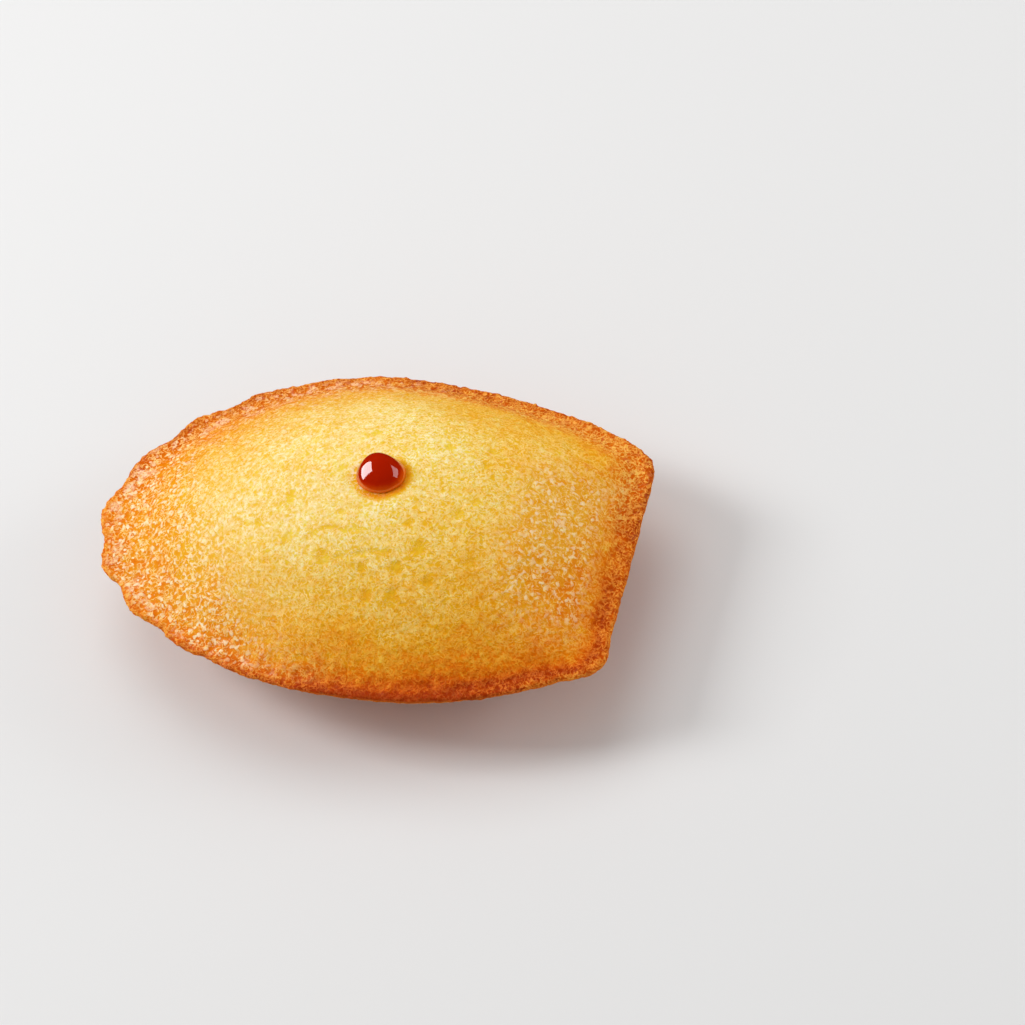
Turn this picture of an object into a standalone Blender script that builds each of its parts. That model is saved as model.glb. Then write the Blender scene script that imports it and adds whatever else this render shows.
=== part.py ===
"""A madeleine: a small shell-shaped sponge cake with a drop of filling on its hump.

It lies on its ribbed shell with the hump up. Metres, +Z up. X runs along the cake, from
the scalloped tip at -X to the straight hinge end at +X. The origin is on the resting
surface, under the middle of the cake's outline.
"""

import math

import bmesh
import bpy
from mathutils import Vector

# Driving sizes.
CAKE_LENGTH = 0.080
CAKE_WIDTH = 0.0546
SHELL_DEPTH = 0.0135  # from the middle of the rim's edge down to the resting spot
HUMP_HEIGHT = 0.0133  # from the rim's upper face up to the top of the hump

# The outline from above: half a blunt ellipse at the tip, and at the hinge end a longer
# ellipse that a straight edge cuts off.
HALF_LENGTH = CAKE_LENGTH / 2
HALF_WIDTH = CAKE_WIDTH / 2
TIP_POWER = 1.93
HINGE_ELLIPSE = 0.0515
CORNER_SHARPNESS = 36
TIP_SWAY = 0.0020  # the tip leans this far to -Y
WAIST_SWAY = 0.0006  # and so does the flank before the hinge end

# The rim.
EDGE_RADIUS = 0.0011
LEDGE_WIDTH = 0.0014
RIM_WAVE = 0.0004
GUTTER_DEPTH = 0.0004  # a shallow channel just inside the rim, deepest at the hinge end
GUTTER_SHARE = 0.925
GUTTER_SPREAD = 0.03

# The shell under the rim.
SHELL_SQUARENESS = 2.4
SHELL_SHOULDER = 0.8
REST_CUT = 0.0007  # how much of the round underside the flat resting spot takes away

# The ribs leave a point near the hinge end along the cake, then bend out to the rim.
RIB_ROOT_X = 0.024
RIB_BEND = 1.35
RIB_PITCH = 0.0102  # along the rim
RIB_OFFSET = 0.0047  # from the tip to the first groove, along the rim
RIB_REACH = (0.050, 0.078)  # along the rim from the tip: whole ribs up to here, none beyond
NOTCH_REACH = (0.018, 0.046)  # the same for the scallops that the ribs make in the rim
GROOVE_DEPTH = 0.0020
NOTCH_DEPTH = 0.0011
GROOVE_START = (0.20, 0.60)  # share of the way from the ribs' root to the rim: none, whole
GROOVE_RISE = (0.30, 0.90)  # share of the way from the resting spot to the rim: none, whole

# The hump.
CROWN = Vector((0.0053, 0.0006))
BRIM_SHARE = 0.93  # the hump's reach as a share of the way from the crown to the edge
TIP_BRIM_LOSS = 0.05
HUMP_TO_TIP = 0.045  # half lengths and half width of the hump's upper part, which is oval
HUMP_TO_HINGE = 0.041
HUMP_TO_SIDE = 0.028
HUMP_SQUARENESS = 2.2
HUMP_FLARE = 1.2
LUMP_HEIGHT = 0.0003

# The drop of filling, in a socket of its own shape.
DROP_HALF_LENGTH = 0.0036
DROP_HALF_WIDTH = 0.0031
DROP_HEIGHT = 0.0028
DROP_FOOT = 0.0008
DROP_LEAN = Vector((-0.0007, 0.0004))
GAP = 0.0003

CAKE_MERIDIANS = 160
CAKE_PARALLELS = 24
DROP_MERIDIANS = 28
DROP_PARALLELS = 16


def smooth_step(low, high, value):
    share = min(1.0, max(0.0, (value - low) / (high - low)))
    return share * share * (3 - 2 * share)


def outline_radius(angle):
    """Distance from the outline's middle to its edge, before the scallops."""
    along, across = math.cos(angle), math.sin(angle)
    if along < 0:
        power = TIP_POWER
        reach = abs(along / HALF_LENGTH) ** power + abs(across / HALF_WIDTH) ** power
        return reach ** (-1 / power)
    ellipse = math.hypot(along / HINGE_ELLIPSE, across / HALF_WIDTH)
    straight = along / HALF_LENGTH
    return (ellipse**CORNER_SHARPNESS + straight**CORNER_SHARPNESS) ** (-1 / CORNER_SHARPNESS)


def rim_point(turn):
    """A point of the outline. Its points stand closer together round the scalloped tip."""
    angle = turn + 0.2 * math.sin(turn)
    radius = outline_radius(angle)
    return Vector((radius * math.cos(angle), radius * math.sin(angle)))


def way_round(turn):
    """Length along the outline from the tip to this turn, negative on the -Y side."""
    side = 1 if turn >= 0 else -1
    steps = 60
    stops = [side * (math.pi + (abs(turn) - math.pi) * step / steps) for step in range(steps + 1)]
    points = [rim_point(stop) for stop in stops]
    return side * sum((b - a).length for a, b in zip(points, points[1:]))


def groove(turn, reach):
    """0 on the back of a rib and 1 in the groove between two ribs, where this turn meets the rim."""
    way = way_round(turn)
    rib = 0.5 - 0.5 * math.cos(2 * math.pi * (way - RIB_OFFSET) / RIB_PITCH)
    return (1 - rib**0.75) * (1 - smooth_step(*reach, abs(way)))


def edge_share(point):
    """0 at the outline's middle and 1 at its edge."""
    return point.length / outline_radius(math.atan2(point.y, point.x))


def edge_rounding(point):
    """Height of the rim's round edge over its middle plane."""
    inside = point.length * (1 / max(edge_share(point), 1e-6) - 1)
    short = EDGE_RADIUS - min(EDGE_RADIUS, max(0.0, inside))
    return math.sqrt(EDGE_RADIUS**2 - short**2)


def hump_height(point, share):
    """Height over the rim's upper face. share is 0 at the crown and 1 at the edge."""
    heading = math.cos(math.atan2(point.y, point.x))
    reach = BRIM_SHARE + TIP_BRIM_LOSS * min(0.0, heading)
    from_crown = point - CROWN
    half_length = HUMP_TO_TIP if from_crown.x < 0 else HUMP_TO_HINGE
    oval = math.hypot(from_crown.x / half_length, from_crown.y / HUMP_TO_SIDE)
    level = oval + (share - oval) * share**2
    dome = max(0.0, 1 - (level / reach) ** HUMP_SQUARENESS) ** HUMP_FLARE
    across_gutter = (share - GUTTER_SHARE) / GUTTER_SPREAD
    gutter = GUTTER_DEPTH * (0.6 + 0.4 * heading) * math.exp(-(across_gutter**2))
    lumps = math.sin(point.x * 210 + 1.1) * math.cos(point.y * 260 + 0.4)
    return HUMP_HEIGHT * dome - gutter + LUMP_HEIGHT * lumps * dome * share


def shell_depth(point):
    """Depth under the rim's lower face, before the grooves and the resting spot are cut."""
    share = edge_share(point)
    wall = 1 - LEDGE_WIDTH / outline_radius(math.atan2(point.y, point.x))
    full_depth = SHELL_DEPTH + REST_CUT - EDGE_RADIUS
    return full_depth * max(0.0, 1 - (share / wall) ** SHELL_SQUARENESS) ** SHELL_SHOULDER


def settle(point, height):
    """What a real bake adds to the mould's shape: a leaning tip and a slow wave in the rim."""
    tip = max(0.0, -point.x / HALF_LENGTH)
    waist = math.sin(math.pi * min(1.0, max(0.0, point.x / HALF_LENGTH)))
    sway = TIP_SWAY * tip**3 + WAIST_SWAY * waist
    wave = RIM_WAVE * math.sin(2 * math.atan2(point.y, point.x) + 0.7) * edge_share(point) ** 3
    return Vector((point.x, point.y - sway, height + wave))


def upper_face(turn, share):
    point = CROWN + share * (rim_point(turn) - CROWN)
    height = edge_rounding(point) + hump_height(point, share)
    notch = NOTCH_DEPTH * groove(turn, NOTCH_REACH) * smooth_step(0.86, 1.0, share)
    return settle(point - notch * point.normalized(), height)


def lower_face(turn, share):
    rim = rim_point(turn)
    point = Vector((RIB_ROOT_X + share * (rim.x - RIB_ROOT_X), rim.y * share**RIB_BEND))
    height = -edge_rounding(point) - shell_depth(point)
    sideways = smooth_step(0.75, 1.0, share)
    inward = NOTCH_DEPTH * groove(turn, NOTCH_REACH) * sideways
    deepening = smooth_step(*GROOVE_START, share) * smooth_step(*GROOVE_RISE, edge_share(point))
    upward = GROOVE_DEPTH * groove(turn, RIB_REACH) * deepening * (1 - sideways)
    placed = settle(point - inward * point.normalized(), height + upward)
    placed.z = max(placed.z, -SHELL_DEPTH)
    return placed


def shape_cake(ball):
    """A sphere's upper half becomes the hump and its lower half the ribbed shell."""
    bmesh.ops.create_uvsphere(ball, u_segments=CAKE_MERIDIANS, v_segments=CAKE_PARALLELS, radius=1)
    for vertex in ball.verts:
        turn = math.atan2(vertex.co.y, vertex.co.x)
        share = min(1.0, math.hypot(vertex.co.x, vertex.co.y))
        face = upper_face if vertex.co.z > -1e-6 else lower_face
        vertex.co = face(turn, share)


def shape_drop(ball, swell=0.0):
    """A sphere turned into a thick drop: a round top that leans a little, on a shallow foot."""
    bmesh.ops.create_uvsphere(ball, u_segments=DROP_MERIDIANS, v_segments=DROP_PARALLELS, radius=1)
    for vertex in ball.verts:
        x, y, z = vertex.co
        lean = DROP_LEAN * max(0.0, z) ** 2
        height = DROP_HEIGHT if z > 0 else DROP_FOOT
        vertex.co = (
            x * (DROP_HALF_LENGTH + swell) + lean.x,
            y * (DROP_HALF_WIDTH + swell) + lean.y,
            z * (height + swell),
        )


def new_object(name, shape, collection, parent, place=(0, 0, 0)):
    ball = bmesh.new()
    shape(ball)
    mesh = bpy.data.meshes.new(name)
    ball.to_mesh(mesh)
    ball.free()
    mesh.shade_smooth()
    made = bpy.data.objects.new(name, mesh)
    made.parent = parent
    made.location = place
    collection.objects.link(made)
    return made


def new_collection(name):
    collection = bpy.data.collections.new(name)
    bpy.context.scene.collection.children.link(collection)
    return collection


def paint(piece, name, colour, roughness):
    material = bpy.data.materials.new(name)
    material.use_nodes = True
    shader = material.node_tree.nodes["Principled BSDF"]
    shader.inputs["Base Color"].default_value = (*colour, 1)
    shader.inputs["Roughness"].default_value = roughness
    shader.inputs["Metallic"].default_value = 0
    piece.data.materials.append(material)


def cut_socket(cake, cutter):
    cutter.hide_render = True
    cutter.display_type = "WIRE"
    socket = cake.modifiers.new("drop_socket", "BOOLEAN")
    socket.operation = "DIFFERENCE"
    socket.solver = "EXACT"
    socket.object = cutter


def middle_of_outline(cake):
    """The middle of the cake's box, seen from above."""
    xs = [vertex.co.x for vertex in cake.data.vertices]
    ys = [vertex.co.y for vertex in cake.data.vertices]
    return (min(xs) + max(xs)) / 2, (min(ys) + max(ys)) / 2


def main():
    for old in list(bpy.data.objects):
        bpy.data.objects.remove(old)
    parts = new_collection("madeleine")
    cutters = new_collection("madeleine_cutters")
    stand = bpy.data.objects.new("stand", None)
    parts.objects.link(stand)

    drop_place = (CROWN.x, CROWN.y, EDGE_RADIUS + HUMP_HEIGHT)
    cake = new_object("cake", shape_cake, parts, stand)
    drop = new_object("filling_drop", shape_drop, parts, stand, drop_place)
    cutter = new_object(
        "drop_socket_cutter", lambda ball: shape_drop(ball, GAP), cutters, stand, drop_place
    )
    cut_socket(cake, cutter)
    paint(cake, "golden_sponge", (0.83, 0.46, 0.10), 0.6)
    paint(drop, "dark_filling", (0.36, 0.02, 0.004), 0.12)

    middle_x, middle_y = middle_of_outline(cake)
    stand.location = (-middle_x, -middle_y, SHELL_DEPTH)


main()
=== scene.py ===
# %% [markdown]
# # A madeleine with a drop of filling
#
# A madeleine is a small sponge cake baked in a shell-shaped mould. It lies here as it is
# served: ribbed shell below, the pale risen hump above, and one glossy drop of filling
# set into the hump. This lesson loads the measured solids of the cake, lights them, and
# then makes the two things that a plain solid can't show: the crumb and the wet drop.

# %% Load the measured solids
import math

import bpy
import numpy as np
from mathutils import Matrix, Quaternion, Vector


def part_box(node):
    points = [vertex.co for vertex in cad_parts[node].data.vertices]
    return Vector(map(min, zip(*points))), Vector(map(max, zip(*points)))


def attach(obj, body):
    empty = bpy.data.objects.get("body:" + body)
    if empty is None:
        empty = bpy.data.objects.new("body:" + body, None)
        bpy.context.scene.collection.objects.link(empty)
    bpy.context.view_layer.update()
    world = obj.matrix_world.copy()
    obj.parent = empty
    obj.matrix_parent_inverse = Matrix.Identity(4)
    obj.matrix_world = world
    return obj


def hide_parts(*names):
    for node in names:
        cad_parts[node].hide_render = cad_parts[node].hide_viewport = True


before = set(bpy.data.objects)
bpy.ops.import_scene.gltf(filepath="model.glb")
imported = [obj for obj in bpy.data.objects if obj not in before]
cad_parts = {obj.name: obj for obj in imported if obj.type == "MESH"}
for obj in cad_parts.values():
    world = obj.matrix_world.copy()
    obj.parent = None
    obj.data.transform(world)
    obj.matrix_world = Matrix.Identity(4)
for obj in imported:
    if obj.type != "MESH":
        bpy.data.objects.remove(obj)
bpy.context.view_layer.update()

MM = 0.001

# %% [markdown]
# ## The camera
#
# Food photographers use a long lens from some way off, so that a small cake keeps its
# shape. The camera looks down on the hump from the hinge side. It is rolled a little, so
# the cake seems to tip towards us, and it aims at a point beside the cake. Azimuth and
# elevation say where it stands, which is easier to think in than x, y and z.

# %% Place the camera
CAMERA_AZIMUTH = 28.3
CAMERA_ELEVATION = 54.0
CAMERA_ROLL = math.radians(-17.2)
CAMERA_DISTANCE = 545.8 * MM
CAMERA_AIM = Vector((20.6, 6.0, 13.5)) * MM
LENS_LENGTH = 134.55
SENSOR_WIDTH = 36
NEAREST_SEEN = 50 * MM


def heading(azimuth, elevation):
    """Unit vector from the cake towards a camera or lamp. Azimuth 0 is in front, at -Y."""
    turn, rise = math.radians(azimuth), math.radians(elevation)
    return Vector((math.sin(turn) * math.cos(rise), -math.cos(turn) * math.cos(rise), math.sin(rise)))


towards_camera = heading(CAMERA_AZIMUTH, CAMERA_ELEVATION)
lens = bpy.data.cameras.new("lens")
lens.lens = LENS_LENGTH
lens.sensor_width = SENSOR_WIDTH
lens.clip_start = NEAREST_SEEN
camera = bpy.data.objects.new("camera", lens)
bpy.context.scene.collection.objects.link(camera)
camera.location = CAMERA_AIM + towards_camera * CAMERA_DISTANCE
camera.rotation_mode = "QUATERNION"
level_look = (-towards_camera).to_track_quat("-Z", "Y")
camera.rotation_quaternion = level_look @ Quaternion((0, 0, 1), CAMERA_ROLL)
bpy.context.scene.camera = camera
print("camera at, mm:", [round(place / MM) for place in camera.location])

# %% [markdown]
# ## Floor and light
#
# The cake lies on a plain pale floor. Three softboxes light it. The key stands beyond the
# scalloped tip and rakes over the crumb, which shows every grain. A broad one overhead
# and behind evens the hump out, and a low one at the hinge end opens the shadows. A soft
# lamp is an area light whose size is a good share of its distance.
#
# What wet places mirror is a separate matter. The floor, the world and the softboxes are
# hidden from glossy rays, because a mirrored bright room would lay a white veil over the
# brown crust. Two cards take their place: area lights that light nothing and are only
# mirrored. Each draws one window on the drop, a bright one and a dim one.

# %% Lay the floor
FLOOR_SIZE = 3.0
FLOOR_GREY = (0.77, 0.77, 0.77, 1)
bpy.ops.mesh.primitive_plane_add(size=FLOOR_SIZE)
floor = bpy.context.object
floor.name = "floor"
floor_paint = bpy.data.materials.new("floor_paint")
floor_paint.use_nodes = True
floor_shader = floor_paint.node_tree.nodes["Principled BSDF"]
floor_shader.inputs["Base Color"].default_value = FLOOR_GREY
floor_shader.inputs["Roughness"].default_value = 0.9
floor_shader.inputs["Specular IOR Level"].default_value = 0.0
floor.data.materials.append(floor_paint)
floor.visible_glossy = False
print("floor, m:", FLOOR_SIZE)

# %% Hang the softboxes
LAMP_TARGET = Vector((0, 0, 15)) * MM


def softbox(name, azimuth, elevation, distance, width, height, watts, lights=True, mirrored=True):
    """A rectangular area light that faces the cake. Distance, width and height are in metres."""
    lamp = bpy.data.lights.new(name, "AREA")
    lamp.shape = "RECTANGLE"
    lamp.size, lamp.size_y = width, height
    lamp.energy = watts
    hung = bpy.data.objects.new(name, lamp)
    bpy.context.scene.collection.objects.link(hung)
    hung.location = LAMP_TARGET + heading(azimuth, elevation) * distance
    hung.rotation_mode = "QUATERNION"
    hung.rotation_quaternion = (LAMP_TARGET - hung.location).to_track_quat("-Z", "Y")
    hung.visible_diffuse = lights
    hung.visible_glossy = mirrored


softbox("key_softbox", -88, 42, 0.75, 0.24, 0.36, 3.0, mirrored=False)
softbox("window_card", -80, 37, 0.50, 0.34, 0.52, 4.4, lights=False)
softbox("top_softbox", -160, 62, 0.70, 0.45, 0.45, 1.3, mirrored=False)
softbox("hinge_softbox", 112, 22, 0.60, 0.26, 0.26, 0.75, mirrored=False)
softbox("hinge_card", 108, 30, 0.60, 0.44, 0.26, 0.75, lights=False)
print("lamps:", len(bpy.data.lights))

# %% Fill in with a dim room
ROOM_COLOUR = (1.0, 0.99, 0.98, 1)
ROOM_STRENGTH = 0.45
world = bpy.data.worlds.new("studio")
world.use_nodes = True
room = world.node_tree.nodes["Background"]
room.inputs["Color"].default_value = ROOM_COLOUR
room.inputs["Strength"].default_value = ROOM_STRENGTH
bpy.context.scene.world = world
world.cycles_visibility.glossy = False
bpy.context.scene.view_settings.view_transform = "Standard"
print("room strength:", ROOM_STRENGTH)

# %% [markdown]
# ## The sponge's fine mesh
#
# The measured solid has facets of two or three millimetres, and crumb is far finer. So a
# copy of the solid is welded and rounded by Subdivision Surface, and a voxel remesh
# rebuilds it from even little quads. The remesh matters: displacement needs points that
# stand equally close everywhere, and the solid's own points crowd at its poles. Before
# that, the socket that the solid keeps free for its drop is closed, because the real
# drop lies on crumb.


# %% Weld a copy of the cake
def pick(piece):
    """Make a piece the only selected and the active one, as operators need."""
    bpy.ops.object.select_all(action="DESELECT")
    piece.select_set(True)
    bpy.context.view_layer.objects.active = piece


def apply_modifiers(piece):
    pick(piece)
    for modifier in list(piece.modifiers):
        bpy.ops.object.modifier_apply(modifier=modifier.name)


drop_low, drop_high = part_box("filling_drop")
drop_middle = (drop_low + drop_high) / 2
drop_size = drop_high - drop_low
sponge = bpy.data.objects.new("sponge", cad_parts["cake"].data.copy())
bpy.context.scene.collection.objects.link(sponge)
pick(sponge)
bpy.ops.object.mode_set(mode="EDIT")
bpy.ops.mesh.select_mode(type="FACE")
bpy.ops.mesh.select_all(action="SELECT")
bpy.ops.mesh.remove_doubles(threshold=0.01 * MM)
bpy.ops.mesh.select_all(action="DESELECT")
bpy.ops.object.mode_set(mode="OBJECT")
print("faces of the copy:", len(sponge.data.polygons))

# %% Close its socket
SOCKET_MARGIN = 0.5 * MM
socket_faces = 0
for face in sponge.data.polygons:
    away = (face.center - drop_middle).xy
    reach_x, reach_y = drop_size.x / 2 + SOCKET_MARGIN, drop_size.y / 2 + SOCKET_MARGIN
    across = math.hypot(away.x / reach_x, away.y / reach_y)
    if across < 1 and face.center.z > drop_low.z - SOCKET_MARGIN:
        face.select = True
        socket_faces += 1
bpy.ops.object.mode_set(mode="EDIT")
bpy.ops.mesh.delete(type="FACE")
bpy.ops.mesh.select_mode(type="EDGE")
bpy.ops.mesh.select_non_manifold(
    use_wire=False, use_multi_face=False, use_non_contiguous=False, use_verts=False
)
bpy.ops.mesh.edge_face_add()
bpy.ops.mesh.poke()
bpy.ops.mesh.select_all(action="SELECT")
bpy.ops.mesh.tris_convert_to_quads(face_threshold=math.radians(70), shape_threshold=math.radians(120))
bpy.ops.object.mode_set(mode="OBJECT")
print("socket faces replaced:", socket_faces)

# %% Round and remesh it
CRUMB_VOXEL = 0.36 * MM
rounding = sponge.modifiers.new("rounding", "SUBSURF")
rounding.levels = rounding.render_levels = 2
crumb_grid = sponge.modifiers.new("crumb_grid", "REMESH")
crumb_grid.mode = "VOXEL"
crumb_grid.voxel_size = CRUMB_VOXEL
crumb_grid.use_smooth_shade = True
easing = sponge.modifiers.new("easing", "SMOOTH")
easing.factor = 0.5
easing.iterations = 4
apply_modifiers(sponge)
print("sponge faces:", len(sponge.data.polygons))

# %% [markdown]
# ## The near corner
#
# Batter that crept out into the mould's corner baked to a small point there. The corner is
# selected and pulled out with proportional editing, which moves the points round it by a
# falling share, so the pull leaves no step.


# %% Pull out the near corner
def select_where(piece, chosen, start=(0, 0, 0)):
    """Select the points for which chosen(place from start) is true, and enter edit mode."""
    start = Vector(start)
    pick(piece)
    bpy.ops.object.mode_set(mode="EDIT")
    bpy.ops.mesh.select_mode(type="VERT")
    bpy.ops.mesh.select_all(action="DESELECT")
    bpy.ops.object.mode_set(mode="OBJECT")
    for point in piece.data.vertices:
        point.select = chosen(point.co - start)
    bpy.ops.object.mode_set(mode="EDIT")


def proportional(reach, falloff):
    return {"use_proportional_edit": True, "proportional_edit_falloff": falloff, "proportional_size": reach}


NEAR_CORNER = Vector((38.7, -17.2, 13.5)) * MM
CORNER_SIZE = 0.9 * MM
CORNER_PULL = Vector((0.7, -0.55, 0.0)) * MM
CORNER_REACH = 5 * MM
select_where(sponge, lambda place: place.length < CORNER_SIZE, NEAR_CORNER)
bpy.ops.transform.translate(value=CORNER_PULL, **proportional(CORNER_REACH, "SMOOTH"))
bpy.ops.object.mode_set(mode="OBJECT")
print("points at the corner:", sum(point.select for point in sponge.data.vertices))

# %% [markdown]
# ## Where each point lies
#
# Baking treats the rim, the hump and the shell differently, so each point of the mesh
# needs to know where it is. The rim is found by cutting the cake into narrow wedges, like
# a pie, and taking the outermost point of each. From it follow a point's distance from
# the rim and its height over it.


# %% Read and store values at the points
def points_of(piece):
    """The places of a piece's points, one row each."""
    places = np.empty(len(piece.data.vertices) * 3)
    piece.data.vertices.foreach_get("co", places)
    return places.reshape(-1, 3)


def normals_of(piece):
    """The directions in which the surface faces at a piece's points."""
    normals = np.empty(len(piece.data.vertices) * 3)
    piece.data.vertices.foreach_get("normal", normals)
    return normals.reshape(-1, 3)


def smooth_step(low, high, value):
    """0 below low, 1 above high, and an even S between them."""
    share = np.clip((value - low) / (high - low), 0, 1)
    return share * share * (3 - 2 * share)


def store(piece, name, values):
    """Keep one number for each point under a name that a material can read."""
    layer = piece.data.attributes.new(name, "FLOAT", "POINT")
    layer.data.foreach_set("value", values.astype(np.float32))


def group_from(piece, name, weights, steps=50):
    """A vertex group, which tells a modifier how strongly to act at each point."""
    group = piece.vertex_groups.new(name=name)
    levels = np.round(weights * steps).astype(int)
    for level in range(1, steps + 1):
        members = np.flatnonzero(levels == level)
        if len(members):
            group.add(members.tolist(), level / steps, "REPLACE")
    return group


# %% Measure each point of the crust
WEDGES = 240
places = points_of(sponge)
x, y = places[:, 0] / MM, places[:, 1] / MM
turn = np.arctan2(places[:, 1], places[:, 0])
radius = np.hypot(places[:, 0], places[:, 1])
wedge = ((turn + math.pi) / (2 * math.pi) * WEDGES).astype(int) % WEDGES
order = np.lexsort((radius, wedge))
outermost = order[np.searchsorted(wedge[order], np.arange(WEDGES), side="right") - 1]
wedge_turn = (np.arange(WEDGES) + 0.5) / WEDGES * 2 * math.pi - math.pi
from_rim = np.interp(turn, wedge_turn, radius[outermost], period=2 * math.pi) - radius
over_rim = places[:, 2] - np.interp(turn, wedge_turn, places[outermost, 2], period=2 * math.pi)
shell_share = smooth_step(0.6 * MM, -1.2 * MM, over_rim)
on_top = 1 - shell_share
print("points on top:", int((on_top > 0.5).sum()), "on the shell:", int((on_top <= 0.5).sum()))

# %% [markdown]
# ## Relief
#
# Crumb relief comes in sizes. Broad lumps come from uneven rising, soft dents from
# bubbles that burst late, and a fine pebbling from the sugar and butter that boiled out.
# Each is one Displace modifier with its own texture, and a vertex group tells it where to
# act. They all push inwards only, so the cake keeps its outer size.


# %% Ways to press a relief and to keep the size
def relief(piece, name, kind, size, depth, group="", domes=False, **settings):
    """Press a texture inwards. Its dark places go deep, or its bright ones where it makes domes."""
    pattern = bpy.data.textures.new(name, kind)
    pattern.noise_scale = size
    for setting, value in settings.items():
        setattr(pattern, setting, value)
    push = piece.modifiers.new(name, "DISPLACE")
    push.texture = pattern
    push.texture_coords = "LOCAL"
    push.strength = -depth if domes else depth
    push.mid_level = 0.0 if domes else 1.0
    push.vertex_group = group
    return pattern


def fill_box(piece, low, high):
    """Stretch a piece by the percent or two that brings its box to the one given."""
    places = points_of(piece)
    piece_low, piece_high = Vector(places.min(axis=0)), Vector(places.max(axis=0))
    stretch = [(b - a) / (d - c) for a, b, c, d in zip(low, high, piece_low, piece_high)]
    pick(piece)
    bpy.ops.object.mode_set(mode="EDIT")
    bpy.ops.mesh.select_all(action="SELECT")
    bpy.ops.transform.translate(value=(low + high - piece_low - piece_high) / 2)
    bpy.ops.transform.resize(value=stretch, center_override=(low + high) / 2)
    bpy.ops.object.mode_set(mode="OBJECT")
    print("stretched", piece.name, "by", [round(factor, 3) for factor in stretch])


# %% Press the lumps and the crumbly rim
RIM_REACH = 4.5 * MM
rim_share = np.exp(-((np.maximum(from_rim, 0) / RIM_REACH) ** 2))
tip_share = smooth_step(-12, -34, x)
crown_share = on_top * smooth_step(5 * MM, 12 * MM, from_rim)
front_left = smooth_step(5, -15, y) * smooth_step(10, -10, x)
pebbled_rim = rim_share * (0.6 + 0.4 * front_left)
group_from(sponge, "top", on_top)
group_from(sponge, "rim", rim_share * (0.42 + 0.33 * front_left))
group_from(sponge, "crown", crown_share)
group_from(sponge, "pebbled", on_top * (0.28 + 0.72 * np.maximum(0.45 * tip_share, pebbled_rim)))
group_from(sponge, "mould_side", shell_share)
relief(sponge, "lumps", "CLOUDS", 8 * MM, 0.45 * MM, "top")
relief(sponge, "rim_crumble", "CLOUDS", 2.6 * MM, 0.8 * MM, "rim", noise_depth=2)
apply_modifiers(sponge)
print("points of the rim:", int((rim_share > 0.5).sum()))

# %% [markdown]
# ## Dents and creases
#
# Large bubbles that burst while the hump still rose leave shallow round dents, and the
# skin folds into a crease where it slid. They are few enough to place one by one. Each
# point takes the share of the nearest dent, and one Displace modifier presses them all.
# The pebbling goes on top, and how far each point went in is kept: the colour paints
# shade into the hollows, so it needs to know them.

# %% Press the dents and creases
DENTS = [  # x, y and radius in mm
    (13.4, 7.6, 0.8), (19.3, 5.8, 0.7), (17.4, -3.2, 0.9), (11.0, -6.1, 0.7), (13.1, -9.1, 1.1),
    (-0.3, -11.7, 1.1), (-7.1, -3.3, 1.0), (1.2, -5.5, 0.7), (10.4, -12.0, 1.0), (10.3, -15.4, 1.0),
    (6.5, -15.7, 0.8), (19.3, -0.7, 0.6), (-6.3, -9.3, 0.8), (-0.3, 1.4, 0.8), (19.0, 8.7, 0.7),
    (20.4, -9.3, 0.9), (-11.3, -6.9, 0.7), (5.5, -12.6, 0.7), (15.0, -13.0, 0.8), (2.5, 8.5, 0.7),
]
CREASES = [  # the middle line of each, as x and y in mm
    [(-3.2, -9.1), (-1.8, -8.3), (-0.4, -7.8), (2.4, -8.0), (5.4, -7.7)],
    [(1.6, -11.4), (4.2, -11.1), (6.9, -10.4), (9.0, -10.2)],
]
CREASE_WIDTH = 0.45
CREASE_DEPTH = 0.65  # as a share of a dent's
DENT_DEPTH = 0.13 * MM
along = np.column_stack([x, y])
pressed = np.zeros(len(places))
for dent_x, dent_y, size in DENTS:
    away = np.hypot(x - dent_x, y - dent_y) / size
    pressed = np.maximum(pressed, smooth_step(1.25, 0.35, away))
for line in CREASES:
    for start, end in zip(line, line[1:]):
        start, run = np.array(start), np.array(end) - np.array(start)
        share = np.clip(((along - start) @ run) / (run @ run), 0, 1)
        away = np.linalg.norm(along - start - share[:, None] * run, axis=1) / CREASE_WIDTH
        pressed = np.maximum(pressed, CREASE_DEPTH * smooth_step(1.3, 0.2, away))
pressed *= crown_share
group_from(sponge, "pressed", pressed)
press = sponge.modifiers.new("press", "DISPLACE")
press.strength = -DENT_DEPTH
press.mid_level = 0.0
press.vertex_group = "pressed"
print("points in dents and creases:", int((pressed > 0.5).sum()))

# %% Press the pebbles, and see which places went in
before = points_of(sponge)
relief(
    sponge, "pebbles", "DISTORTED_NOISE", 0.95 * MM, 0.26 * MM, "pebbled", domes=True,
    noise_basis="VORONOI_F1", noise_distortion="IMPROVED_PERLIN", distortion=0.7,
)
relief(sponge, "shell_grain", "CLOUDS", 0.9 * MM, 0.26 * MM, "mould_side", noise_depth=1)
apply_modifiers(sponge)
pushed = ((before - points_of(sponge)) * normals_of(sponge)).sum(axis=1)
# How far each point went in, for the painted shade in dents, creases and pebble hollows.
hollow_shade = np.maximum(smooth_step(0.06 * MM, 0.16 * MM, pushed) * on_top, pressed)
print("pushed in, mm, mean and most:", np.round([pushed.mean() / MM, pushed.max() / MM], 3))
fill_box(sponge, *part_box("cake"))
store(sponge, "shell", shell_share)
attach(sponge, "root")
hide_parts("cake")
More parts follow.
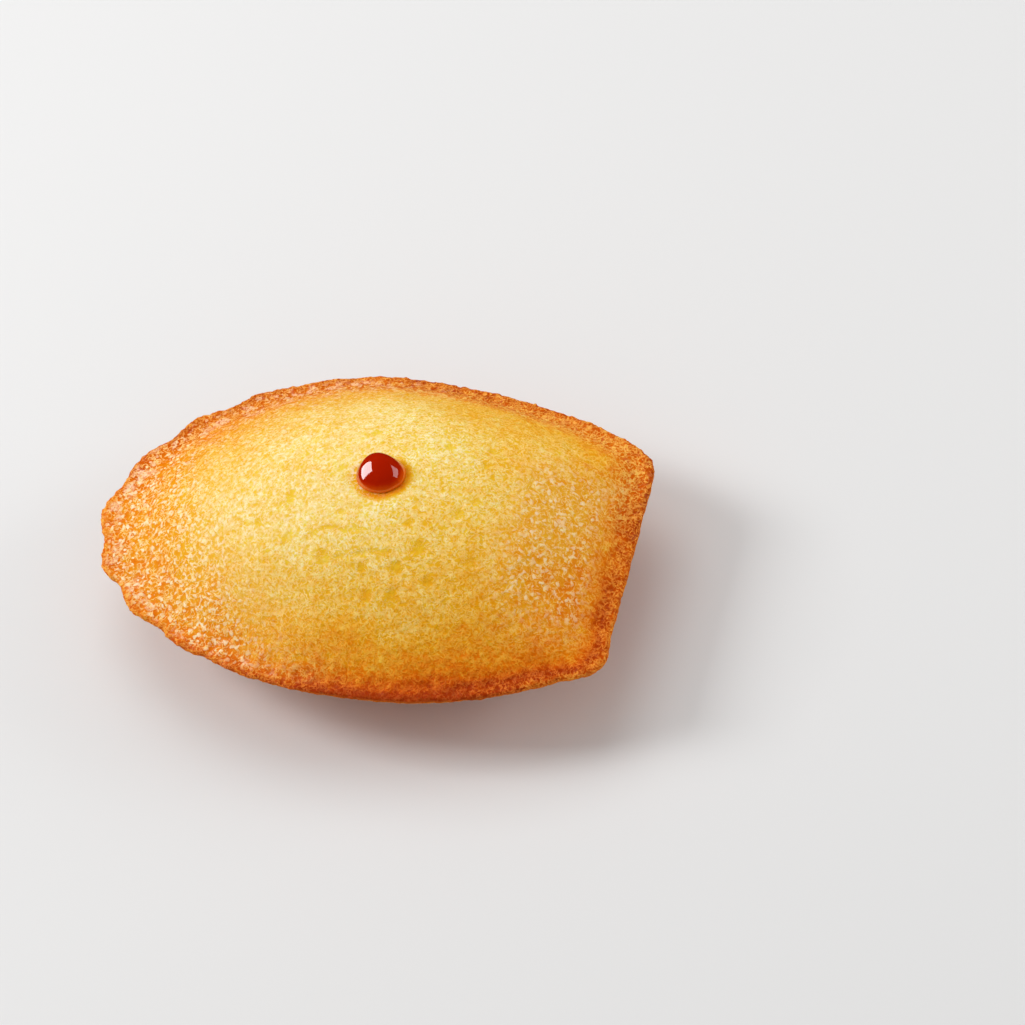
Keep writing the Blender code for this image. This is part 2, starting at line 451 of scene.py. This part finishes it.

# %% [markdown]
# ## Ridge and groove
#
# On the shell, the grooves between the ribs are darker than the ribs: partly they brown
# more, and partly it is painted shade in the grooves. A copy of the sponge that is smoothed
# until its ribs are gone shows which is which: points that stand out of the copy are on a
# rib, and points below it are in a groove.

# %% Tell ribs from grooves
flattened = sponge.copy()
flattened.data = sponge.data.copy()
bpy.context.scene.collection.objects.link(flattened)
melt = flattened.modifiers.new("melt", "SMOOTH")
melt.factor = 1.0
melt.iterations = 120
apply_modifiers(flattened)
raised_by = ((points_of(sponge) - points_of(flattened)) * normals_of(flattened)).sum(axis=1)
bpy.data.objects.remove(flattened)
ridge = smooth_step(-0.25 * MM, 0.35 * MM, raised_by)
store(sponge, "ridge", ridge)
print("stands out by, mm:", np.round(np.percentile(raised_by, [5, 50, 95]) / MM, 2))

# %% [markdown]
# ## Where the oven browned it
#
# An oven browns thin edges first, and then the low ground round the hump. The whole
# shell, which touched the hot mould, is orange-brown. No cake browns evenly: here the
# near side's edge is darkest, partly as painted shade at its front lip, the edge by the tip
# is palest, partly as painted highlight, and the low ground is brown on the far side and
# pale at the hinge end. Each such place is a soft bump over the direction from the cake's
# middle, added to an even browning. It could be painted by hand, but numbers can be read
# and changed. Each point's toast is stored as an attribute, which stays with the cake
# however the cake is turned.


# %% Work out the browning
def bump(value, middle, width):
    """1 at the middle, falling evenly to 0 on both sides."""
    return np.exp(-(((value - middle) / width) ** 2))


def towards(direction, width):
    """1 at a direction in degrees, falling to 0 beside it. The hinge end is at 0, the far side at 90."""
    return bump((degrees - direction + 180) % 360 - 180, 0, width)


degrees = np.degrees(turn)
inward = np.maximum(from_rim, 0) / MM
near_side = smooth_step(-140, -120, degrees) * smooth_step(22, 5, degrees)
far_side = smooth_step(65, 85, degrees) * smooth_step(180, 150, degrees)
# The front lip, whose darkening below is painted shade.
lip_shade, far_gap = towards(-66, 24), towards(120, 16)
# The tip's paler edge is partly painted highlight; the lip's term is painted shade.
edge_brown = 0.82 + 0.22 * near_side + 0.15 * lip_shade - 0.33 * towards(-162, 25) - 0.16 * far_gap
edge_reach = 2.3 + 2.7 * towards(-22, 55) + 2.2 * towards(60, 17)
edge_reach -= 0.5 * (towards(-120, 20) + towards(90, 15))
low_brown = 0.56 + 0.21 * far_side - 0.07 * far_gap - 0.19 * towards(0, 17)
low_brown += 0.09 * (towards(-90, 17) + towards(-30, 17))
low_reach = 12.5 + 15.5 * towards(-5, 45) - 3.8 * towards(78, 28) + 5 * towards(180, 32)
edge_toast = edge_brown * np.exp(-((inward / edge_reach) ** 1.6))
low_toast = low_brown * np.exp(-((inward / low_reach) ** 2))
toast = 1 - (1 - edge_toast) * (1 - low_toast)
print("toast of rim and low ground, mean on top:", round(float(toast[on_top > 0.5].mean()), 2))

# %% [markdown]
# ## Three darker places
#
# Just inside the near corner lies a shallow channel, which is darker, and the corner's own
# edge is paler. The front lip, which faces down, is painted darkest of all, as shade. A ring
# of crumb beside the drop is browner, most on its side towards the hinge end and the near
# side. The first two are bumps over the direction and the distance from the rim, and the
# ring follows the drop's outline.

# %% Add the channel, the lip's painted shade and the browner ring
channel = 0.28 * bump(inward, 2.4, 0.9) - 0.20 * bump(inward, 0, 1.1)
# The lip's darkest band at the rim is painted shade.
toast = toast + towards(-34, 27) * channel + 0.75 * lip_shade * bump(inward, 0, 1.4)
drop_x, drop_y = x - drop_middle.x / MM, y - drop_middle.y / MM
away = np.hypot(drop_x / (drop_size.x / MM / 2), drop_y / (drop_size.y / MM / 2))
# A browner ring beside the drop, strongest towards the hinge end and the near side.
ring_side = 0.1 + 0.9 * smooth_step(-0.6, 0.9, (drop_x - 0.8 * drop_y) / 5)
browner_ring = 0.62 * ring_side * smooth_step(1.42, 1.08, away)
toast = toast + browner_ring * (1 - toast)
# The browner ring is stored together with the hollows' painted shade.
store(sponge, "hollow_shade", np.maximum(hollow_shade, 1.8 * browner_ring))
store(sponge, "toast", toast)
print("toast, mean on top:", round(float(toast[on_top > 0.5].mean()), 2))

# %% [markdown]
# ## Butter, crisp edges and painted glints
#
# Butter boils out of the batter and dries as a glaze, with a coarser grain. The same share
# says where painted glints go: all over the scalloped tip and the tip's half of the hump,
# along the rim, on the slope by the hinge end and round the drop. The outermost
# millimetres stay dry, and baked crisp instead, with deeper pits and paler tops, the paler
# tops partly painted highlight. Both are stored for each point, and the crumb's colours
# are chosen by them.

# %% Work out the glaze, the painted glints and the crisp rim
back_side = smooth_step(0, 8, y)
# Where the glaze and its painted glints lie, and the grain is coarser.
tip_glint = smooth_step(-4, -29, x + 0.5 * y)
front_glint = 0.8 * rim_share * smooth_step(2, -16, x)
back_glint = 0.85 * rim_share * smooth_step(20, -4, x) * back_side
slope_glint = 0.85 * smooth_step(19, 27, x) * smooth_step(-20, -10, y)
slope_glint = slope_glint * smooth_step(2.5, 6.5, inward) * smooth_step(16, 6, y)
crown_glint = 0.75 * smooth_step(14, -6, x) * smooth_step(-16, -6, y)
contact_glint = smooth_step(1.26, 1.14, away) * smooth_step(0.5, -2.5, 0.9 * drop_x + 0.4 * drop_y)
glaze_and_glint = np.maximum.reduce([tip_glint, front_glint, back_glint, slope_glint, crown_glint, contact_glint])
glaze_and_glint = glaze_and_glint * (1 - 0.85 * smooth_step(2.0, 0.5, inward))
# The crisp rim: deeper pits, and paler tops that are partly painted highlight, with a share of the painted
# glints.
crisp_and_glint = smooth_step(4.5 + 3 * back_side, 1.5 + 1.5 * back_side, inward) * on_top
crisp_and_glint = crisp_and_glint * (1 - 0.7 * lip_shade) * (1 + 0.4 * back_side)
store(sponge, "glaze_and_glint", glaze_and_glint)
store(sponge, "crisp_and_glint", crisp_and_glint)
print("glaze, mean on top:", round(float(glaze_and_glint[on_top > 0.5].mean()), 2))

# %% [markdown]
# ## The grain
#
# Close up, the crust is a felt of short curly fibres with wet-looking beads between them.
# The fibres are contour lines: wherever a cloudy noise passes through its middle value,
# a thin line is drawn. Two such noises take turns, patch by patch, so that the lines
# break into curls. The beads are the middles of Voronoi cells. The group puts out both,
# and the height of the grain.


# %% Short ways to build node trees
def new_group(name, inputs, outputs):
    """An empty node group with its sockets. Inputs are (name, type, default)."""
    group = bpy.data.node_groups.new(name, "ShaderNodeTree")
    for label, kind, default in inputs:
        socket = group.interface.new_socket(label, in_out="INPUT", socket_type=kind)
        if default is not None:
            socket.default_value = default
    for label, kind in outputs:
        group.interface.new_socket(label, in_out="OUTPUT", socket_type=kind)
    start = group.nodes.new("NodeGroupInput")
    end = group.nodes.new("NodeGroupOutput")
    return group, start, end


class Board:
    """A node tree with short ways to add the nodes that these materials use."""

    def __init__(self, tree, spot):
        self.tree = tree
        self.spot = spot

    def add(self, kind, links=(), **settings):
        """A node with its settings, and its inputs linked or set from (socket, value) pairs."""
        made = self.tree.nodes.new(kind)
        for setting, value in settings.items():
            setattr(made, setting, value)
        for socket, value in links:
            if isinstance(value, bpy.types.NodeSocket):
                self.tree.links.new(value, made.inputs[socket])
            else:
                made.inputs[socket].default_value = value
        return made

    def stored(self, name):
        """A number that was stored for each point."""
        return self.add("ShaderNodeAttribute", attribute_name=name).outputs["Fac"]

    def maths(self, operation, first, second, clamp=False):
        """A sum, product or the like of two values."""
        links = [(0, first), (1, second)]
        return self.add("ShaderNodeMath", links, operation=operation, use_clamp=clamp).outputs[0]

    def times(self, *values):
        """The product of some values."""
        product = values[0]
        for value in values[1:]:
            product = self.maths("MULTIPLY", product, value)
        return product

    def spread(self, value, low, high, new_low=0.0, new_high=1.0, kind="LINEAR"):
        """A value moved from one range to another, and clamped to it."""
        links = [("Value", value), ("From Min", low), ("From Max", high)]
        links += [("To Min", new_low), ("To Max", new_high)]
        return self.add("ShaderNodeMapRange", links, interpolation_type=kind).outputs[0]

    def noise(self, size, detail=2.0, roughness=0.5, spot=None):
        """An even cloudy noise with features of about this size, from 0 to 1."""
        links = [("Vector", spot or self.spot), ("Scale", 1 / size)]
        links += [("Detail", detail), ("Roughness", roughness)]
        return self.add("ShaderNodeTexNoise", links).outputs["Fac"]

    def ramp(self, value, stops):
        """A colour ramp through (position, colour) stops."""
        made = self.add("ShaderNodeValToRGB", [("Fac", value)])
        bar = made.color_ramp.elements
        bar[0].position, bar[0].color = stops[0][0], (*stops[0][1], 1)
        bar[1].position, bar[1].color = stops[-1][0], (*stops[-1][1], 1)
        for position, colour in stops[1:-1]:
            bar.new(position).color = (*colour, 1)
        return made.outputs["Color"]

    def blend(self, factor, first, second):
        """Two colours mixed by a factor."""
        made = self.add("ShaderNodeMix", data_type="RGBA")
        for socket, value in (("Factor", factor), ("A", first), ("B", second)):
            if isinstance(value, bpy.types.NodeSocket):
                self.tree.links.new(value, made.inputs[socket])
            elif socket == "Factor":
                made.inputs[socket].default_value = value
            else:
                made.inputs[socket].default_value = (*value, 1)
        return made.outputs["Result"]


# %% Build the grain group
CURL_WIDTH = 0.13
WOBBLE = (0.9, 0.9, 0.9)
FAR_OFF = (7.3, 1.9, 4.1)
grain_group, grain_in, grain_out = new_group(
    "crust_grain",
    [("Vector", "NodeSocketVector", None), ("Density", "NodeSocketFloat", 1000.0)],
    [("Height", "NodeSocketFloat"), ("Curls", "NodeSocketFloat"), ("Beads", "NodeSocketFloat")],
)
board = Board(grain_group, grain_in.outputs["Vector"])


def moved(spot, how, **inputs):
    """A place changed by a vector operation, with its second and third input or its scale."""
    names = {"second": 1, "third": 2, "scale": "Scale"}
    links = [(0, spot)] + [(names[name], value) for name, value in inputs.items()]
    return board.add("ShaderNodeVectorMath", links, operation=how).outputs[0]


def contour(spot, scale):
    """1 on the line where a noise passes its middle value, falling to 0 beside it."""
    links = [("Vector", spot), ("Scale", scale), ("Detail", 1.0)]
    cloud = board.add("ShaderNodeTexNoise", links).outputs["Fac"]
    aside = board.maths("ABSOLUTE", board.maths("SUBTRACT", cloud, 0.5), 0.0)
    return board.spread(aside, 0.0, CURL_WIDTH, 1.0, 0.0)


scaled = moved(board.spot, "SCALE", scale=grain_in.outputs["Density"])
wobble = board.add("ShaderNodeTexNoise", [("Vector", scaled), ("Scale", 1.1), ("Detail", 1.0)])
bent = moved(wobble.outputs["Color"], "MULTIPLY_ADD", second=WOBBLE, third=scaled)
elsewhere = moved(bent, "ADD", second=FAR_OFF)
which_curls = board.spread(board.noise(1 / 0.8, 1.0, 0.5, scaled), 0.44, 0.56)
curls = board.blend(which_curls, contour(bent, 1.0), contour(elsewhere, 1.25))
cells = board.add("ShaderNodeTexVoronoi", [("Vector", bent), ("Scale", 1.0)], feature="F1")
from_middle = board.maths("ADD", cells.outputs["Distance"], board.noise(1 / 1.6, 0.0, 0.5, scaled))
beads = board.spread(from_middle, 0.92, 0.70, kind="SMOOTHSTEP")
height = board.maths("MAXIMUM", board.maths("MULTIPLY", curls, 0.7), beads)
for output, value in (("Height", height), ("Curls", curls), ("Beads", beads)):
    grain_group.links.new(value, grain_out.inputs[output])
print("grain group nodes:", len(grain_group.nodes))

# %% [markdown]
# ## Crumb, from pale to brown
#
# One brown tint over a yellow cake looks like paint. Real crumb browns in two layers: the
# pits between the fibres go from yellow to a deep orange-brown, and the tops of the
# fibres from cream to a lighter brown. The tops' paleness is partly painted highlight, the
# light that the fibres' crests catch. So there are two colour ramps, both driven by the
# stored toast, and the grain chooses between them. Noise in two sizes makes the toast a
# little uneven first.

# %% Mix the colours of pits and fibre tops
MOST_TOAST = 1.25
PIT_COLOURS = [
    (0.0, (0.87, 0.61, 0.060)),
    (0.2, (0.84, 0.46, 0.015)),
    (0.4, (0.83, 0.34, 0.004)),
    (0.6, (0.79, 0.19, 0.001)),
    (0.8, (0.62, 0.092, 0.0005)),
    (1.0, (0.37, 0.034, 0.0005)),
]
# Fibre tops: their paleness is partly painted highlight.
TOP_AND_HIGHLIGHT_COLOURS = [
    (0.0, (1.00, 0.90, 0.62)),
    (0.2, (1.00, 0.75, 0.29)),
    (0.4, (0.98, 0.57, 0.080)),
    (0.6, (0.93, 0.37, 0.025)),
    (0.8, (0.80, 0.18, 0.010)),
    (1.0, (0.50, 0.07, 0.003)),
]
crumb_paint = bpy.data.materials.new("baked_crumb")
crumb_paint.use_nodes = True
tree = crumb_paint.node_tree
shader = tree.nodes["Principled BSDF"]
board = Board(tree, tree.nodes.new("ShaderNodeTexCoord").outputs["Object"])
patches = board.spread(board.noise(6 * MM, 3.0), 0.25, 0.75, -0.10, 0.10)
specks = board.spread(board.noise(1.4 * MM), 0.25, 0.75, -0.12, 0.12)
toasted = board.stored("toast")
uneven = board.maths("ADD", board.maths("ADD", toasted, patches), specks)
glaze_glint_share = board.stored("glaze_and_glint")
glossy = board.times(glaze_glint_share, glaze_glint_share)
crisp_glint_share = board.stored("crisp_and_glint")
pit_toast = board.maths("ADD", uneven, board.times(board.maths("MAXIMUM", glossy, crisp_glint_share), 0.14))
# Paler fibre tops on the crisp rim: partly painted highlight.
top_toast = board.maths("SUBTRACT", uneven, board.times(crisp_glint_share, 0.13))
pit_colour = board.ramp(board.maths("DIVIDE", pit_toast, MOST_TOAST), PIT_COLOURS)
top_and_highlight_colour = board.ramp(board.maths("DIVIDE", top_toast, MOST_TOAST), TOP_AND_HIGHLIGHT_COLOURS)
print("toast goes from 0 to", MOST_TOAST, "over", len(PIT_COLOURS), "colours")


# %% Lay the fibres over the pits
FINE_GRAIN = 0.70 * MM
COARSE_GRAIN = 0.88 * MM


def grain_of(size):
    """The grain group with its features at one size."""
    made = board.add("ShaderNodeGroup", node_tree=grain_group)
    tree.links.new(board.spot, made.inputs["Vector"])
    made.inputs["Density"].default_value = 1 / size
    return made.outputs


fine, coarse = grain_of(FINE_GRAIN), grain_of(COARSE_GRAIN)
strength = board.spread(board.noise(0.8 * MM), 0.3, 0.7, 0.4, 1.1)
curled = board.blend(glossy, fine["Curls"], board.spread(coarse["Curls"], 0.3, 1.0))
# Fewer pale fibre tops in the hollows: painted shade in dents, creases and pebble hollows.
painted_hollow_shade = board.times(board.stored("hollow_shade"), 0.6)
raised = board.maths("SUBTRACT", board.times(curled, strength), painted_hollow_shade, clamp=True)
crumb_colour = board.blend(raised, pit_colour, top_and_highlight_colour)
print("grain sizes, mm:", FINE_GRAIN / MM, COARSE_GRAIN / MM)

# %% [markdown]
# ## Wet spots, painted as highlights
#
# On the glazed crumb and the crisp rim, the crests of the fibres and the beads between
# them catch the light as small cream-coloured spots, more orange where the crumb is brown.
# They could be left to reflection alone, but spots this small need a lamp in the right
# place, and from another side they would be gone. So they are painted highlights, in
# amounts set by the stored glaze-and-glint share. On the crisp rim, painted sheen also
# lies in thin sheets.

# %% Paint the highlights on the wet spots
# Colours of the painted highlights: cream on pale crumb, orange on brown.
GLINT_ON_PALE = (1.0, 0.79, 0.50)
GLINT_ON_BROWN = (1.0, 0.64, 0.26)
SHEEN_COLOUR = (1.0, 0.70, 0.46)
glisten = board.maths("MAXIMUM", glaze_glint_share, board.times(crisp_glint_share, 0.20))
glint_beads = board.times(board.spread(coarse["Beads"], 0.35, 0.85), glisten)
crests = board.spread(curled, 0.4, 1.0, 0.0, 0.65)
shiny = board.maths("MAXIMUM", glint_beads, crests)
painted_glint = board.maths("MULTIPLY", board.times(shiny, strength), glisten, clamp=True)
glint_colour = board.blend(board.spread(toasted, 0.55, 1.0), GLINT_ON_PALE, GLINT_ON_BROWN)
crumb_colour = board.blend(painted_glint, crumb_colour, glint_colour)
# Painted sheen: thin pale sheets on the crisp, glazed rim.
sheen_patches = board.times(board.spread(board.noise(2.0 * MM), 0.54, 0.62), board.times(crisp_glint_share, glossy))
sheen = board.times(sheen_patches, board.spread(fine["Curls"], 0.0, 1.0, 0.15, 0.9))
crumb_colour = board.blend(sheen, crumb_colour, SHEEN_COLOUR)
print("crumb nodes so far:", len(tree.nodes))

# %% [markdown]
# ## The shell, and how the crumb takes the light
#
# The shell has one ramp of its own, from the dark grooves to the lighter ribs, broken up
# by noise; the grooves' darkness is partly painted shade. Crumb is matt and lets some light
# in, which comes out again close by and warmer. Subsurface scattering does that, over less
# than a millimetre. The grain's height drives a small bump, on top of the relief that is
# real.

# %% Colour the shell and finish the crumb
# From groove to rib; the darker groove colours are partly painted shade.
SHELL_COLOURS = [
    (0.05, (0.36, 0.050, 0.003)),
    (0.35, (0.56, 0.105, 0.006)),
    (0.65, (0.74, 0.20, 0.018)),
    (0.95, (0.90, 0.34, 0.050)),
]
GRAIN_DEPTH = 0.10 * MM
SCATTER_REACH = 0.8 * MM
mottled = board.spread(board.noise(0.9 * MM), 0.3, 0.7, 0.0, 0.4)
ribbed = board.maths("ADD", board.times(board.stored("ridge"), 0.6), mottled)
colour = board.blend(board.stored("shell"), crumb_colour, board.ramp(ribbed, SHELL_COLOURS))
tree.links.new(colour, shader.inputs["Base Color"])
grain_height = board.blend(glaze_glint_share, fine["Height"], coarse["Height"])
bump_links = [("Height", grain_height), ("Strength", 0.6), ("Distance", GRAIN_DEPTH)]
bumps = board.add("ShaderNodeBump", bump_links)
tree.links.new(bumps.outputs["Normal"], shader.inputs["Normal"])
tree.links.new(board.spread(coarse["Beads"], 0.0, 1.0, 0.55, 0.32), shader.inputs["Roughness"])
shader.inputs["Specular IOR Level"].default_value = 0.03
shader.inputs["Subsurface Weight"].default_value = 0.25
shader.inputs["Subsurface Radius"].default_value = (1.0, 0.55, 0.15)
shader.inputs["Subsurface Scale"].default_value = SCATTER_REACH
sponge.data.materials.clear()
sponge.data.materials.append(crumb_paint)
print("crumb nodes:", len(tree.nodes))

# %% [markdown]
# ## The drop of filling
#
# A thick drop keeps the shape in which it was let go: a rounded cone whose tip leans to
# one side, on a thin foot that has crept over the crumb. It could be turned from a
# profile, but a turned drop is even all round. So it starts as a sphere: the lower half,
# which lies in the crumb, is squashed, and the top is pulled up and aside by
# proportional editing.

# %% Shape the drop
SUNK = 0.75 * MM
ROUND_HEIGHT = 0.93 * (drop_size.z - SUNK)
BODY_SHARE = 1 / 1.1  # of the foot's width
UNDERSIDE_SHARE = 0.33  # how much of its depth the squashed lower half keeps
PEAK_LEAN = Vector((-0.42, 0.70, 0.55)) * MM
PEAK_REACH = 3.2 * MM
waterline = Vector((drop_middle.x, drop_middle.y, drop_low.z + SUNK))
bpy.ops.object.select_all(action="DESELECT")
bpy.ops.mesh.primitive_uv_sphere_add(segments=96, ring_count=48, radius=1, location=waterline)
drop = bpy.context.object
drop.name = "drop"
drop.scale = (drop_size.x / 2 * BODY_SHARE, drop_size.y / 2 * BODY_SHARE, ROUND_HEIGHT)
bpy.ops.object.transform_apply(location=True, rotation=False, scale=True)
select_where(drop, lambda place: place.z < 0.01 * MM, waterline)
bpy.ops.transform.resize(value=(1, 1, UNDERSIDE_SHARE), center_override=waterline)
bpy.ops.object.mode_set(mode="OBJECT")
select_where(drop, lambda place: place.z > 0.985 * ROUND_HEIGHT, waterline)
bpy.ops.transform.translate(value=PEAK_LEAN, **proportional(PEAK_REACH, "SMOOTH"))
bpy.ops.object.mode_set(mode="OBJECT")
print("drop over the crumb, mm:", round(float(points_of(drop)[:, 2].max() - waterline.z) / MM, 2))

# %% Draw out the foot
FOOT_HEIGHT = 0.16 * MM
FOOT_SPREAD = (1.02, 1.02, 1.0)
FOOT_CREEP = Vector((0.12, 0.08, -0.06)) * MM
select_where(drop, lambda place: abs(place.z) < FOOT_HEIGHT, waterline)
bpy.ops.transform.resize(value=FOOT_SPREAD, center_override=waterline, **proportional(0.7 * MM, "SMOOTH"))
bpy.ops.object.mode_set(mode="OBJECT")


def on_far_foot(place):
    """Whether a place is on the side of the foot that crept furthest."""
    return abs(place.z) < FOOT_HEIGHT and place.x + 0.6 * place.y > 2.4 * MM


select_where(drop, on_far_foot, waterline)
bpy.ops.transform.translate(value=FOOT_CREEP, **proportional(1.2 * MM, "SMOOTH"))
bpy.ops.object.mode_set(mode="OBJECT")
bpy.ops.object.shade_smooth()
fill_box(drop, drop_low, drop_high)
FULL_DEPTH = 1.7 * MM
store(drop, "depth", smooth_step(0.0, FULL_DEPTH, points_of(drop)[:, 2] - waterline.z))
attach(drop, "root")
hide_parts("filling_drop")

# %% [markdown]
# ## The drop's colour
#
# The filling is a clear brownish red, so its colour comes from its depth: the thin foot
# lets the crumb shine through and looks orange, and the deep middle is almost brown. The
# depth is stored for each point as its height over the crumb. A glossy skin mirrors the
# two cards.

# %% Colour the drop
FILLING_COLOURS = [
    (0.00, (0.82, 0.13, 0.003)),
    (0.15, (0.76, 0.085, 0.002)),
    (0.45, (0.62, 0.048, 0.001)),
    (0.75, (0.50, 0.018, 0.0008)),
    (1.00, (0.43, 0.012, 0.0006)),
]
drop_paint = bpy.data.materials.new("wet_filling")
drop_paint.use_nodes = True
tree = drop_paint.node_tree
shader = tree.nodes["Principled BSDF"]
board = Board(tree, tree.nodes.new("ShaderNodeTexCoord").outputs["Object"])
streaks = board.spread(board.noise(1.8 * MM), 0.3, 0.7, -0.12, 0.12)
filling_colour = board.ramp(board.maths("ADD", board.stored("depth"), streaks), FILLING_COLOURS)
tree.links.new(filling_colour, shader.inputs["Base Color"])
shader.inputs["Roughness"].default_value = 0.05
shader.inputs["Specular IOR Level"].default_value = 0.5
shader.inputs["Coat Weight"].default_value = 1.0
shader.inputs["Coat Roughness"].default_value = 0.03
drop.data.materials.append(drop_paint)
print("filling nodes:", len(tree.nodes))
